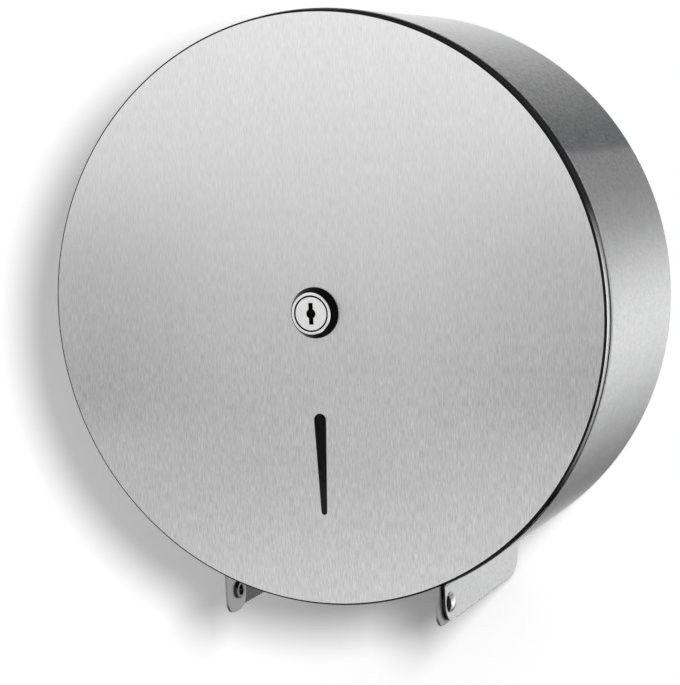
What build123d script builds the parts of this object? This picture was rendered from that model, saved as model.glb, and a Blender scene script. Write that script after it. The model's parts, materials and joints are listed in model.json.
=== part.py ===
from build123d import *

import os
from math import asin, atan2, cos, degrees, hypot, radians, sin, sqrt

# A lockable round dispenser for a large toilet roll, screwed flat to a wall.
# Sizes are in millimetres. The wall is the plane Y = 0, the door faces -Y and +Z is up.
# "Out" is the distance from the wall towards the room, so out = -Y.

# Case and door sheet
door_diameter = 275.0
body_depth = 115.0  # wall to the front face of the door
shell_sheet = 0.8
door_sheet = 0.8
back_sheet = 1.0
door_edge_bend = 1.2  # outside radius where the door face turns into its lip
lip_reveal = 7.0  # part of the lip that shows in front of the shell
lip_lap = 3.0  # part of the lip that sits inside the shell
lip_clearance = 0.3  # between the lip and the shell, all round
lip_relief_angle = 50.0  # from straight down, each way: here the lip stops short of the shell
lip_relief_gap = 0.3

# Ears, the two ends of the shell's sheet, bent down beside the paper outlet
outlet_width = 110.2
ear_height = 17.4  # from the end of the bend down to the ear's lower edge
ear_bend = 2.0
ear_front_corner = 9.0
ear_rear_corner = 13.0
tooth_pitch = 2.5
tooth_depth = 0.7
tooth_share = 0.9  # of the pitch that each notch takes

# Back plate
rim_height = 10.0
boss_radius = 40.0
boss_rise = 3.0
boss_slope = 3.0
screw_spacing_across = 140.0
screw_spacing_up = 100.0
screw_hole_radius = 3.0

# Door stops inside the shell
stop_angles = (90.0, 15.0, 165.0)
stop_sweep = 6.0
stop_sheet = 1.2
stop_foot = 12.0
stop_reach = 8.0
stop_gap = 0.3

# Hinge
pin_setback = 12.5  # behind the door's front face
pin_rise = 9.5  # above the ears' lower edges
pin_radius = 3.0
pin_play = 0.08
side_play = 0.2
washer_sheet = 0.8
washer_radius = 5.6
head_radius = 4.75
head_height = 2.5
head_rim = 0.5
tail_radius = 4.2
tail_height = 1.2
tail_round = 0.5
tail_hole_radius = 2.3
tail_hole_depth = 3.0
bracket_sheet = 1.2
bracket_bend = 1.8
web_height = 16.0
web_above_lip = 3.5  # least distance from the web's lower corners to the inside of the lip
tab_back = 7.5  # from the pin to the tab's rear edge
tab_below = 10.0  # from the pin to the tab's lower edge
tab_corner = 7.0
tab_notch_gap = 0.5

# Sight slot in the door, wide above and narrow below
slot_above_web = 12.5  # from the bracket's web to the centre of the slot's lower end
slot_length = 43.2  # between the centres of the two ends
slot_top_radius = 3.0
slot_bottom_radius = 1.4

# Spindle that the roll hangs on
spindle_radius = 19.0
spindle_wall = 1.5
flange_radius = 32.0
flange_sheet = 2.0
flange_rivet_circle = 25.5
flange_rivet_count = 4
flange_rivet_radius = 2.0
flange_rivet_head = 3.8
flange_rivet_rise = 1.5
hub_play = 0.3
hub_end_play = 0.4
hub_wall = 2.7
hub_flange_radius = 34.0
hub_flange_sheet = 2.5
hub_rib_count = 6
hub_rib_height = 1.5
hub_rib_width = 3.0
clip_sheet = 1.2
clip_outer_radius = 22.0
clip_groove_depth = 0.6
clip_groove_play = 0.1
clip_gap_angle = 50.0
clip_to_end = 3.0  # from the clip to the spindle's front end

# Lock
lock_proud = 4.6
lock_length = 16.0  # from the door's front face back to the end of the barrel
bezel_base_radius = 11.85
bezel_top_radius = 9.95
bezel_step = 1.2
bezel_below_ring = 0.4
bezel_edge = 0.5
ring_radius = 9.7
ring_bore_radius = 8.3
ring_chamfer = 0.2
barrel_radius = 8.0
barrel_flat = 7.0  # from the axis to each of the two flats
thread_pitch = 1.0
thread_depth = 0.45
thread_plain = 1.5
nut_across_flats = 22.0
nut_height = 5.0
star_sheet = 0.6
star_ring_radius = 10.4
star_tooth_radius = 12.0
star_tooth_count = 12
plug_head_radius = 8.0
plug_head_height = 2.0
plug_recess = 0.15
plug_radius = 5.5
plug_play = 0.1
plug_clip_sheet = 0.8
plug_clip_radius = 7.2
plug_groove_radius = 4.6
tail_flat = 3.2  # from the axis to each flat of the plug's tail
tail_barrel_radius = 4.0
keyhole_height = 10.0
keyhole_width = 2.2
keyhole_round_radius = 2.3
keyhole_depth = 13.0
wafer_count = 5
wafer_sheet = 0.7
wafer_pitch = 2.2
wafer_first = 3.6  # behind the plug's face
wafer_width = 6.0
wafer_height = 9.0
wafer_window_width = 2.6
wafer_window_height = 6.6
wafer_window_shift = 1.0
wafer_play = 0.1

# Cam on the lock and the slotted plate that it catches behind
cam_sheet = 2.0
cam_length = 26.0
cam_width = 8.0
cam_play = 0.8
catch_sheet = 1.2
catch_gap = 1.5  # from the end of the barrel to the catch plate
catch_slot_play = 1.5
catch_slot_width = 10.5
cam_screw_radius = 2.0
cam_screw_length = 6.0
cam_screw_head_radius = 3.8
cam_screw_head_height = 2.2
cam_washer_radius = 4.6
cam_washer_sheet = 0.8

# Places that follow from the sizes above
door_radius = door_diameter / 2
shell_inner = door_radius + lip_clearance
shell_outer = shell_inner + shell_sheet
door_back = body_depth - door_sheet
shell_front = body_depth - lip_reveal
lip_end = shell_front - lip_lap
lip_inner = door_radius - door_sheet
ear_inside = outlet_width / 2
ear_outside = ear_inside + shell_sheet
bend_x = ear_outside + ear_bend
bend_z = -sqrt((shell_outer + ear_bend) ** 2 - bend_x**2)
mouth_half_angle = degrees(atan2(bend_x, -bend_z))
ear_drop = ear_height - bend_z
pin_out = body_depth - pin_setback
pin_z = pin_rise - ear_drop
washer_inside = ear_inside - washer_sheet
tab_outside = washer_inside - side_play
tab_inside = tab_outside - bracket_sheet
tail_face = tab_inside - side_play
web_low = -sqrt((lip_inner - web_above_lip) ** 2 - tab_outside**2)
web_high = web_low + web_height
slot_bottom_drop = -web_high - slot_above_web
slot_top_drop = slot_bottom_drop - slot_length
rim_inner = shell_inner - back_sheet
boss_face = boss_rise + back_sheet
flange_face = boss_face + flange_sheet
barrel_end = body_depth - lock_length
catch_front = barrel_end - catch_gap
catch_back = catch_front - catch_sheet
cam_front = catch_back - cam_play
cam_back = cam_front - cam_sheet
ring_face = body_depth + lock_proud
ring_back = body_depth + bezel_step
plug_face = ring_face - plug_recess
plug_head_back = plug_face - plug_head_height
clip_back = catch_back - clip_to_end - clip_sheet
hub_back = flange_face + flange_rivet_rise + hub_end_play
hub_front = clip_back - hub_end_play
hub_bore = spindle_radius + hub_play
hub_outer = hub_bore + hub_wall

front = Plane.XZ  # local x is X, local y is Z and local z is out from the wall
margin = 1.0  # how far a cutter runs past what it cuts


# A flat shape parallel to the wall, from one distance out to another
def slab(shape, start, end):
    return extrude(front.offset(start) * shape, amount=end - start)


# A flat shape drawn as (out, Z), standing square to X between two values of X
def side_plate(shape, low, high):
    plane = Plane(origin=(high, 0, 0), x_dir=(0, -1, 0), z_dir=(-1, 0, 0))
    return extrude(plane * shape, amount=high - low)


# A solid turned about a plane's own normal from corners given as (radius, height)
def turned(corners, plane=front):
    outline = Polyline(*[(radius, 0, height) for radius, height in corners], close=True)
    return plane * revolve(make_face(outline), Axis.Z)


def tube(inner, outer, start, end, plane=front):
    return turned([(inner, start), (outer, start), (outer, end), (inner, end)], plane)


def rod(radius, start, end, plane=front):
    return turned([(0, start), (radius, start), (radius, end), (0, end)], plane)


# A triangle from the roll axis outwards, wide enough to cut a wedge from any ring here
def wedge(middle, half_angle):
    reach = 2 * shell_outer / cos(radians(half_angle))
    ends = [radians(middle - half_angle), radians(middle + half_angle)]
    return make_face(Polyline((0, 0), *[(reach * cos(a), reach * sin(a)) for a in ends], close=True))


def circle_points(radius, count, first=0.0):
    angles = [radians(first + 360 * step / count) for step in range(count)]
    return [(radius * cos(a), radius * sin(a)) for a in angles]


# The rolled sheet, open below between the two ears
def drum_shell():
    ring = Circle(shell_outer) - Circle(shell_inner) - wedge(-90, mouth_half_angle)
    return slab(ring, 0, shell_front)


# The bend and the straight ear below it, on the side given by 1 or -1
def ear_section(side):
    turn = atan2(-bend_z, -bend_x)
    middle = (turn + radians(180)) / 2
    edges, joins = [], []
    for roll_radius, bend_radius, ear_x in (
        (shell_outer, ear_bend, ear_outside),
        (shell_inner, ear_bend + shell_sheet, ear_inside),
    ):
        share = roll_radius / (shell_outer + ear_bend)
        join = (side * bend_x * share, bend_z * share)
        on_bend = (side * (bend_x + bend_radius * cos(middle)), bend_z + bend_radius * sin(middle))
        knee = (side * ear_x, bend_z)
        edges += [ThreePointArc(join, on_bend, knee), Line(knee, (side * ear_x, -ear_drop))]
        joins.append(join)
    edges += [Line(*joins), Line((side * ear_inside, -ear_drop), (side * ear_outside, -ear_drop))]
    return make_face(edges)


# Notches along an ear's lower edge, where the paper is torn
def tear_teeth():
    low = ear_rear_corner + tooth_pitch
    high = shell_front - ear_front_corner - tooth_pitch
    count = int((high - low) / tooth_pitch)
    half = tooth_pitch * tooth_share / 2
    notches = Sketch()
    for step in range(count):
        middle = low + (step + 0.5) * tooth_pitch
        corners = (middle - half, -ear_drop), (middle, -ear_drop + tooth_depth), (middle + half, -ear_drop)
        notches += make_face(Polyline(*corners, close=True))
    return side_plate(notches, -ear_outside - margin, ear_outside + margin)


def outlet_ear(side):
    ear = slab(ear_section(side), 0, shell_front)
    across = ear.edges().filter_by(Axis.X).group_by(Axis.Z)[0]
    ear = fillet(across.group_by(Axis.Y)[0], ear_front_corner)
    across = ear.edges().filter_by(Axis.X).group_by(Axis.Z)[0]
    ear = fillet(across.group_by(Axis.Y)[-1], ear_rear_corner)
    pin_hole = Pos(pin_out, pin_z) * Circle(pin_radius)
    return ear - side_plate(pin_hole, -ear_outside - margin, ear_outside + margin) - tear_teeth()


# A disc against the wall with a raised boss in the middle, so that rivet tails clear the wall
def back_plate():
    slope_end = boss_radius + boss_slope
    shift = back_sheet * boss_slope / (boss_rise + hypot(boss_rise, boss_slope))
    plate = turned([
        (0, boss_rise),
        (boss_radius, boss_rise),
        (slope_end, 0),
        (shell_inner, 0),
        (shell_inner, back_sheet),
        (slope_end + shift, back_sheet),
        (boss_radius + shift, boss_face),
        (0, boss_face),
    ])
    for x in (-screw_spacing_across / 2, screw_spacing_across / 2):
        for z in (-screw_spacing_up / 2, screw_spacing_up / 2):
            plate -= slab(Pos(x, z) * Circle(screw_hole_radius), -margin, back_sheet + margin)
    for x, z in circle_points(flange_rivet_circle, flange_rivet_count, 45):
        plate -= slab(Pos(x, z) * Circle(flange_rivet_radius), 0, boss_face + margin)
    return plate


# The band round the plate's edge that the shell is welded to
def back_rim():
    return tube(rim_inner, shell_inner, back_sheet, rim_height)


# Small angle pieces welded inside the shell, just behind the lip
def door_stops():
    leg_front = lip_end - stop_gap
    leg_back = leg_front - stop_sheet
    profile = turned([
        (shell_inner, leg_front),
        (shell_inner, leg_back - stop_foot),
        (shell_inner - stop_sheet, leg_back - stop_foot),
        (shell_inner - stop_sheet, leg_back),
        (shell_inner - stop_reach, leg_back),
        (shell_inner - stop_reach, leg_front),
    ])
    return Part() + [profile & slab(wedge(angle, stop_sweep / 2), 0, body_depth) for angle in stop_angles]


# The door's face with its rounded edge; the lip goes on from there
def door_skin():
    edge_centre = door_radius - door_edge_bend
    bend_end = body_depth - door_edge_bend
    inner_bend = door_edge_bend - door_sheet
    diagonal = sin(radians(45))
    outside = ThreePointArc(
        (edge_centre, 0, body_depth),
        (edge_centre + door_edge_bend * diagonal, 0, bend_end + door_edge_bend * diagonal),
        (door_radius, 0, bend_end),
    )
    inside = ThreePointArc(
        (lip_inner, 0, bend_end),
        (edge_centre + inner_bend * diagonal, 0, bend_end + inner_bend * diagonal),
        (edge_centre, 0, door_back),
    )
    joint = Line((door_radius, 0, bend_end), (lip_inner, 0, bend_end))
    ends = (edge_centre, 0, door_back), (0, 0, door_back), (0, 0, body_depth), (edge_centre, 0, body_depth)
    skin = front * revolve(make_face([outside, joint, inside, *Polyline(*ends).edges()]), Axis.Z)
    skin -= slab(sight_slot(), door_back - margin, body_depth + margin)
    return skin - slab(barrel_section(), door_back - margin, body_depth + margin)


# The band that turns back from the face and sits inside the shell's front edge
def door_lip():
    lip = tube(lip_inner, door_radius, lip_end, body_depth - door_edge_bend)
    relief = tube(lip_inner - margin, door_radius + margin, lip_end - margin, shell_front + lip_relief_gap)
    lip -= relief & slab(wedge(-90, lip_relief_angle), lip_end - 2 * margin, shell_front + lip_relief_gap)
    notch_top = -sqrt(lip_inner**2 - tab_inside**2) + web_above_lip
    for side in (-1, 1):
        middle = side * (tab_inside + tab_outside) / 2
        width = bracket_sheet + 2 * tab_notch_gap
        notch = Pos(middle, notch_top) * Rectangle(width, door_radius, align=(Align.CENTER, Align.MAX))
        lip -= slab(notch, lip_end - margin, door_back)
    return lip


def sight_slot():
    length = slot_bottom_drop - slot_top_drop
    tilt = asin((slot_top_radius - slot_bottom_radius) / length)
    corners = []
    for side, order in ((1, 1), (-1, -1)):
        ends = [(slot_top_radius, slot_top_drop), (slot_bottom_radius, slot_bottom_drop)][::order]
        corners += [(side * radius * cos(tilt), -drop - radius * sin(tilt)) for radius, drop in ends]
    top = Pos(0, -slot_top_drop) * Circle(slot_top_radius)
    bottom = Pos(0, -slot_bottom_drop) * Circle(slot_bottom_radius)
    return make_face(Polyline(*corners, close=True)) + top + bottom


# A flat shape drawn as (X, out), standing square to Z between two heights
def upright(shape, low, high):
    plane = Plane(origin=(0, 0, high), x_dir=(1, 0, 0), z_dir=(0, 0, -1))
    return extrude(plane * shape, amount=high - low)


# One U of sheet: a web welded behind the door face and a tab beside each ear
def hinge_bracket():
    tab_rear = pin_out - tab_back
    tab_low = pin_z - tab_below
    depth = door_back - tab_rear
    legs = Pos(0, tab_rear) * Rectangle(2 * tab_outside, depth, align=(Align.CENTER, Align.MIN))
    hollow = Pos(0, tab_rear) * Rectangle(2 * tab_inside, depth, align=(Align.CENTER, Align.MIN))
    bent = legs - Pos(0, -bracket_sheet) * hollow
    inner = [v for v in bent.vertices().group_by(Axis.Y)[-2] if abs(v.X) < tab_outside - bracket_sheet / 2]
    bent = fillet(inner, bracket_bend - bracket_sheet)
    bent = fillet(bent.vertices().group_by(Axis.Y)[-1], bracket_bend)
    bracket = upright(bent, web_low, web_high) + upright(legs - hollow, tab_low, web_low)
    profile = Pos(tab_rear, tab_low) * Rectangle(depth, web_high - tab_low, align=Align.MIN)
    profile = fillet(profile.vertices().group_by(Axis.Y)[0], tab_corner)
    profile = chamfer(profile.vertices().group_by(Axis.Y)[-1].sort_by(Axis.X)[0], tab_corner)
    profile -= Pos(pin_out, pin_z) * Circle(pin_radius + pin_play)
    return bracket & side_plate(profile, -tab_outside, tab_outside)


# The plane whose normal runs outwards along the hinge line on one side
def hinge_plane(side):
    return Plane(origin=(0, -pin_out, pin_z), x_dir=(0, 1, 0), z_dir=(side, 0, 0))


# A domed rivet: its head is outside the ear and its rolled tail inside the tab
def hinge_rivet(side):
    tail_end = tail_face - tail_height
    hole_end = tail_end + tail_hole_depth
    rim = ear_outside + head_rim
    top = ear_outside + head_height
    dome_rise = head_height - head_rim
    dome_radius = (head_radius**2 + dome_rise**2) / (2 * dome_rise)
    half_angle = asin(head_radius / dome_radius) / 2
    bulge = (dome_radius * sin(half_angle), 0, top - dome_radius * (1 - cos(half_angle)))
    corners = [
        (0, 0, top),
        (0, 0, hole_end),
        (tail_hole_radius, 0, hole_end),
        (tail_hole_radius, 0, tail_end),
        (tail_radius, 0, tail_end),
        (tail_radius, 0, tail_face),
        (pin_radius, 0, tail_face),
        (pin_radius, 0, ear_outside),
        (head_radius, 0, ear_outside),
        (head_radius, 0, rim),
    ]
    section = make_face([*Polyline(*corners).edges(), ThreePointArc(corners[-1], bulge, corners[0])])
    rivet = revolve(section, Axis.Z)
    tail_rings = [
        edge
        for edge in rivet.edges().filter_by(GeomType.CIRCLE)
        if abs(edge.center().Z - tail_end) < 1e-4
    ]
    return hinge_plane(side) * fillet(tail_rings, tail_round)


def hinge_washer(side):
    return tube(pin_radius, washer_radius, washer_inside, ear_inside, hinge_plane(side))


def spindle_flange():
    flange = rod(flange_radius, boss_face, flange_face)
    for x, z in circle_points(flange_rivet_circle, flange_rivet_count, 45):
        flange -= slab(Pos(x, z) * Circle(flange_rivet_radius), boss_face - margin, flange_face + margin)
    return flange


def spindle_rivets():
    back = boss_rise - flange_rivet_rise
    top = flange_face + flange_rivet_rise
    rivet = turned([
        (0, back),
        (flange_rivet_head * 0.6, back),
        (flange_rivet_head, boss_rise - flange_rivet_rise * 0.4),
        (flange_rivet_head, boss_rise),
        (flange_rivet_radius, boss_rise),
        (flange_rivet_radius, flange_face),
        (flange_rivet_head, flange_face),
        (flange_rivet_head, flange_face + flange_rivet_rise * 0.4),
        (flange_rivet_head * 0.6, top),
        (0, top),
    ])
    points = circle_points(flange_rivet_circle, flange_rivet_count, 45)
    return Part() + [Pos(x, 0, z) * rivet for x, z in points]


def spindle_tube():
    body = tube(spindle_radius - spindle_wall, spindle_radius, flange_face, catch_back)
    groove_back = clip_back - clip_groove_play / 2
    groove_front = clip_back + clip_sheet + clip_groove_play / 2
    groove_radius = spindle_radius - clip_groove_depth
    return body - tube(groove_radius, spindle_radius + margin, groove_back, groove_front)


def catch_plate():
    slot = SlotOverall(cam_length + 2 * catch_slot_play, catch_slot_width, rotation=90)
    return slab(Circle(spindle_radius) - slot, catch_front - catch_sheet, catch_front)


# A loose plastic sleeve that turns on the spindle and fills the roll's card core
def roll_hub():
    hub = tube(hub_bore, hub_outer, hub_back, hub_front)
    rib_back = hub_back + hub_flange_sheet
    rib_start = hub_bore + hub_wall / 2
    rib_reach = hub_outer + hub_rib_height - rib_start
    for step in range(hub_rib_count):
        rib = Pos(rib_start, 0) * Rectangle(rib_reach, hub_rib_width, align=(Align.MIN, Align.CENTER))
        hub += slab(Rot(0, 0, 360 * step / hub_rib_count) * rib, rib_back, hub_front - hub_rib_width)
    return hub


# The collar at the back of the sleeve that the roll leans against
def hub_flange():
    return tube(hub_outer, hub_flange_radius, hub_back, hub_back + hub_flange_sheet)


def hub_clip():
    ring = Circle(clip_outer_radius) - Circle(spindle_radius - clip_groove_depth)
    ring -= wedge(90, clip_gap_angle / 2)
    return slab(ring, clip_back, clip_back + clip_sheet)


# The barrel's round outline with its two flats
def barrel_section():
    return Circle(barrel_radius) & Rectangle(2 * barrel_flat, 2 * barrel_radius + margin)


def lock_bezel():
    bezel = turned([
        (barrel_radius, body_depth),
        (bezel_base_radius, body_depth),
        (bezel_base_radius, body_depth + bezel_edge),
        (bezel_top_radius, ring_face - bezel_below_ring),
        (ring_radius, ring_face - bezel_below_ring),
        (ring_radius, ring_back),
        (barrel_radius, ring_back),
    ])
    return bezel


def lock_housing():
    housing = slab(barrel_section(), barrel_end, ring_back)
    housing += rod(ring_radius, ring_back, ring_face)
    bore = plug_radius + plug_play
    seat = plug_head_back - plug_play
    housing -= rod(bore, barrel_end - margin, ring_face)
    housing -= tube(0, ring_bore_radius, seat, ring_face + margin)
    rings = housing.edges().filter_by(GeomType.CIRCLE).group_by(Axis.Y)[0]
    housing = chamfer(rings, ring_chamfer)
    turns = int((door_back - star_sheet - barrel_end - thread_plain) / thread_pitch)
    for step in range(turns):
        root = barrel_end + thread_plain / 2 + (step + 0.5) * thread_pitch
        housing -= turned([
            (barrel_radius - thread_depth, root),
            (barrel_radius + thread_depth, root - thread_pitch * 0.9),
            (barrel_radius + thread_depth, root + thread_pitch * 0.9),
        ])
    return housing


def lock_washer():
    star = Circle(star_ring_radius) - Circle(barrel_radius)
    root_width = star_ring_radius * radians(360 / star_tooth_count) * 0.62
    root = star_ring_radius - margin
    for step in range(star_tooth_count):
        tooth = Rectangle(star_tooth_radius - root, root_width, align=(Align.MIN, Align.CENTER))
        tooth = Pos(root, 0) * tooth
        star += Rot(0, 0, 360 * step / star_tooth_count) * tooth
    return slab(star, door_back - star_sheet, door_back)


def lock_nut():
    back = door_back - star_sheet - nut_height
    nut = slab(RegularPolygon(nut_across_flats / 2, 6, major_radius=False), back, back + nut_height)
    corner = nut_across_flats / 2 / cos(radians(30))
    crown = turned([
        (0, back),
        (nut_across_flats / 2, back),
        (corner, back + (corner - nut_across_flats / 2) * 0.6),
        (corner, back + nut_height),
        (0, back + nut_height),
    ])
    return (nut & crown) - rod(barrel_radius, back - margin, back + nut_height + margin)


def keyhole_section():
    return Rectangle(keyhole_width, keyhole_height) + Circle(keyhole_round_radius)


def wafer_places():
    return [plug_face - wafer_first - step * wafer_pitch for step in range(wafer_count)]


def tail_section():
    return Circle(tail_barrel_radius) & Rectangle(2 * tail_flat, 2 * tail_barrel_radius + margin)


# The bright cap on the front of the plug
def plug_cap():
    cap = rod(plug_head_radius, plug_head_back, plug_face)
    cap = chamfer(cap.edges().filter_by(GeomType.CIRCLE).group_by(Axis.Y)[0], ring_chamfer)
    return cap - slab(keyhole_section(), plug_head_back - margin, plug_face + margin)


def lock_plug():
    plug = rod(plug_radius, barrel_end - plug_play, plug_head_back)
    plug += rod(plug_groove_radius, barrel_end - plug_play - plug_clip_sheet, barrel_end - plug_play)
    plug += slab(tail_section(), cam_back, barrel_end - plug_play)
    plug -= slab(keyhole_section(), plug_face - keyhole_depth, plug_head_back + margin)
    slot = Rectangle(wafer_width + 2 * wafer_play, 2 * plug_radius + margin)
    for place in wafer_places():
        plug -= slab(slot, place - wafer_sheet - wafer_play, place + wafer_play)
    return plug - rod(cam_screw_radius, cam_back - margin, cam_back + cam_screw_length)


# Thin sprung plates across the plug; their windows stand a little high in the keyhole
def lock_wafers():
    wafer = Rectangle(wafer_width, wafer_height)
    wafer -= Pos(0, wafer_window_shift) * Rectangle(wafer_window_width, wafer_window_height)
    return Part() + [slab(wafer, place - wafer_sheet, place) for place in wafer_places()]


def plug_clip():
    start = barrel_end - plug_play - plug_clip_sheet
    ring = Circle(plug_clip_radius) - Circle(plug_groove_radius)
    ring -= Pos(0, plug_clip_radius) * Rectangle(plug_groove_radius, 2 * plug_clip_radius)
    return slab(ring, start, start + plug_clip_sheet)


def lock_cam():
    blade = SlotOverall(cam_length, cam_width, rotation=90)
    return slab(blade - tail_section(), cam_back, cam_front)


def cam_washer():
    return tube(cam_screw_radius, cam_washer_radius, cam_back - cam_washer_sheet, cam_back)


def cam_screw():
    seat = cam_back - cam_washer_sheet
    end = seat - cam_screw_head_height
    screw = rod(cam_screw_head_radius, end, seat)
    screw = fillet(screw.edges().filter_by(GeomType.CIRCLE).group_by(Axis.Y)[-1], cam_screw_head_height / 2)
    screw += rod(cam_screw_radius, seat, cam_back + cam_screw_length - margin)
    cross = Rectangle(cam_screw_head_radius, cam_screw_radius / 2)
    return screw - slab(cross + Rot(0, 0, 90) * cross, end - margin, end + cam_screw_head_height / 2)


pieces = {
    "drum_shell": drum_shell(),
    "back_plate": back_plate(),
    "back_rim": back_rim(),
    "door_stops": door_stops(),
    "spindle_flange": spindle_flange(),
    "spindle_rivets": spindle_rivets(),
    "spindle_tube": spindle_tube(),
    "catch_plate": catch_plate(),
    "hub_clip": hub_clip(),
    "roll_hub": roll_hub(),
    "hub_flange": hub_flange(),
    "door_skin": door_skin(),
    "door_lip": door_lip(),
    "hinge_bracket": hinge_bracket(),
    "lock_bezel": lock_bezel(),
    "lock_housing": lock_housing(),
    "lock_washer": lock_washer(),
    "lock_nut": lock_nut(),
    "plug_cap": plug_cap(),
    "lock_plug": lock_plug(),
    "lock_wafers": lock_wafers(),
    "plug_clip": plug_clip(),
    "lock_cam": lock_cam(),
    "cam_washer": cam_washer(),
    "cam_screw": cam_screw(),
}
for name, side in (("left", -1), ("right", 1)):
    pieces[f"outlet_ear_{name}"] = outlet_ear(side)
    pieces[f"hinge_rivet_{name}"] = hinge_rivet(side)
    pieces[f"hinge_washer_{name}"] = hinge_washer(side)

os.makedirs("parts", exist_ok=True)
for name, piece in pieces.items():
    export_step(piece, f"parts/{name}.step")
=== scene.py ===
import json
from math import asin, atan2, cos, pi, radians, sin, sqrt

import bmesh
import bpy
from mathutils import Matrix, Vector


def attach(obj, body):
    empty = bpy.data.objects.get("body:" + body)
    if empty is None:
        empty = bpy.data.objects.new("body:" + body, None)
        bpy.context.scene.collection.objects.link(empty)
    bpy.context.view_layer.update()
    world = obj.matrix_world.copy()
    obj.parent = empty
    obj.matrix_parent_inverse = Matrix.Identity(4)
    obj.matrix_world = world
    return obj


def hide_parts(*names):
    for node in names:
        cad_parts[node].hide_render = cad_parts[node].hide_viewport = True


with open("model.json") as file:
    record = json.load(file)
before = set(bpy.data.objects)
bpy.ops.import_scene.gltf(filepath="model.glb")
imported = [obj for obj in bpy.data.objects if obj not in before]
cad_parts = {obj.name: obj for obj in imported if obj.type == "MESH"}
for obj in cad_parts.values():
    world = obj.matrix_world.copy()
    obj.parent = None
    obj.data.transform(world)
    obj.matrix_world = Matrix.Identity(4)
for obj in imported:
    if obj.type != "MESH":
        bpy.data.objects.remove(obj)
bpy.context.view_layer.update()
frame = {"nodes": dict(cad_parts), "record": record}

nodes = frame["nodes"]
print("frame loaded,", len(nodes), "CAD nodes")


# One socket of a node tree. Sums and products of sockets add their Math nodes.
class Wire:
    def __init__(self, finish, socket):
        self.finish = finish
        self.socket = socket

    def __add__(self, other):
        return self.finish.math("ADD", self, other)

    def __sub__(self, other):
        return self.finish.math("SUBTRACT", self, other)

    def __rsub__(self, other):
        return self.finish.math("SUBTRACT", other, self)

    def __mul__(self, other):
        return self.finish.math("MULTIPLY", self, other)

    def __truediv__(self, other):
        return self.finish.math("DIVIDE", self, other)

    def __rtruediv__(self, other):
        return self.finish.math("DIVIDE", other, self)

    def __pow__(self, other):
        return self.finish.math("POWER", self, other)

    def __abs__(self):
        return self.finish.math("ABSOLUTE", self)

    __radd__ = __add__

    def output(self, name):  # another output of the same node
        return Wire(self.finish, self.socket.node.outputs[name])


# A node tree under construction, with short names for what the materials use most.
# The Mix node's sockets go by number, because their names repeat.
class Finish:
    def __init__(self, tree):
        self.tree = tree
        self.tree.nodes.clear()

    def node(self, kind, settings=None, inputs=None, output=0):
        made = self.tree.nodes.new(kind)
        for name, value in (settings or {}).items():
            setattr(made, name, value)
        for name, value in (inputs or {}).items():
            socket = made.inputs[name]
            if isinstance(value, Wire):
                self.tree.links.new(value.socket, socket)
            elif socket.type == "RGBA":
                socket.default_value = (*value, 1.0)
            else:
                socket.default_value = value
        return Wire(self, made.outputs[output]) if made.outputs else None

    def math(self, operation, *terms):
        return self.node("ShaderNodeMath", {"operation": operation}, dict(enumerate(terms)))

    def place(self):  # metres, in the piece's own frame
        return self.node("ShaderNodeTexCoord", output="Object")

    def axes(self, vector):
        split = self.node("ShaderNodeSeparateXYZ", {}, {0: vector})
        return split, split.output("Y"), split.output("Z")

    def noise(self, place, size, detail=3.0, roughness=0.6):
        scaled = self.node("ShaderNodeVectorMath", {"operation": "DIVIDE"}, {0: place, 1: size})
        inputs = {"Vector": scaled, "Scale": 1.0, "Detail": detail, "Roughness": roughness}
        return self.node("ShaderNodeTexNoise", {}, inputs)

    def smooth(self, value, start, end):  # 0 before start, 1 after end
        limits = {"Value": value, "From Min": start, "From Max": end}
        return self.node("ShaderNodeMapRange", {"interpolation_type": "SMOOTHSTEP"}, limits)

    def clamp(self, value, low=0.0, high=1.0):
        return self.node("ShaderNodeClamp", {}, {"Value": value, "Min": low, "Max": high})

    def either(self, factor, first, second):  # numbers: the first at 0, the second at 1
        return self.node("ShaderNodeMix", {"data_type": "FLOAT"}, {0: factor, 2: first, 3: second})

    def blend(self, factor, first, second):  # colours: the first at 0, the second at 1
        inputs = {0: factor, 6: first, 7: second}
        return self.node("ShaderNodeMix", {"data_type": "RGBA"}, inputs, 2)

    def shade(self, colour, factor):  # a colour made lighter or darker
        inputs = {0: colour, "Scale": factor}
        return self.node("ShaderNodeVectorMath", {"operation": "SCALE"}, inputs)

    def bump(self, height, distance):
        return self.node("ShaderNodeBump", {}, {"Height": height, "Distance": distance})

    def surface(self, **sockets):
        named = {name.replace("_", " "): value for name, value in sockets.items()}
        shader = self.node("ShaderNodeBsdfPrincipled", {}, named)
        self.node("ShaderNodeOutputMaterial", {}, {"Surface": shader})


def newFinish(name):
    material = bpy.data.materials.new(name)
    material.use_nodes = True
    return material, Finish(material.node_tree)


# Distance from the roll's axis, which runs along Y
def fromAxis(across, high):
    return (across * across + high * high) ** 0.5


# A noise as a swing round zero
def swing(noise, width):
    return (noise - 0.5) * width


# Camera at the photograph's angle
photoCamera = {
    "place": (0.35519, -0.90779, 0.08474),
    "turn": (83.4894, 2.6324, 23.1123),  # degrees
    "lens": 99.806,
    "clipStart": 0.02,
}


def makeCamera():
    data = bpy.data.cameras.new("photoCamera")
    data.lens = photoCamera["lens"]
    data.clip_start = photoCamera["clipStart"]
    camera = bpy.data.objects.new("photoCamera", data)
    camera.location = photoCamera["place"]
    camera.rotation_euler = [radians(angle) for angle in photoCamera["turn"]]
    bpy.context.scene.collection.objects.link(camera)
    bpy.context.scene.camera = camera


makeCamera()
print("camera set")

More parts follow.
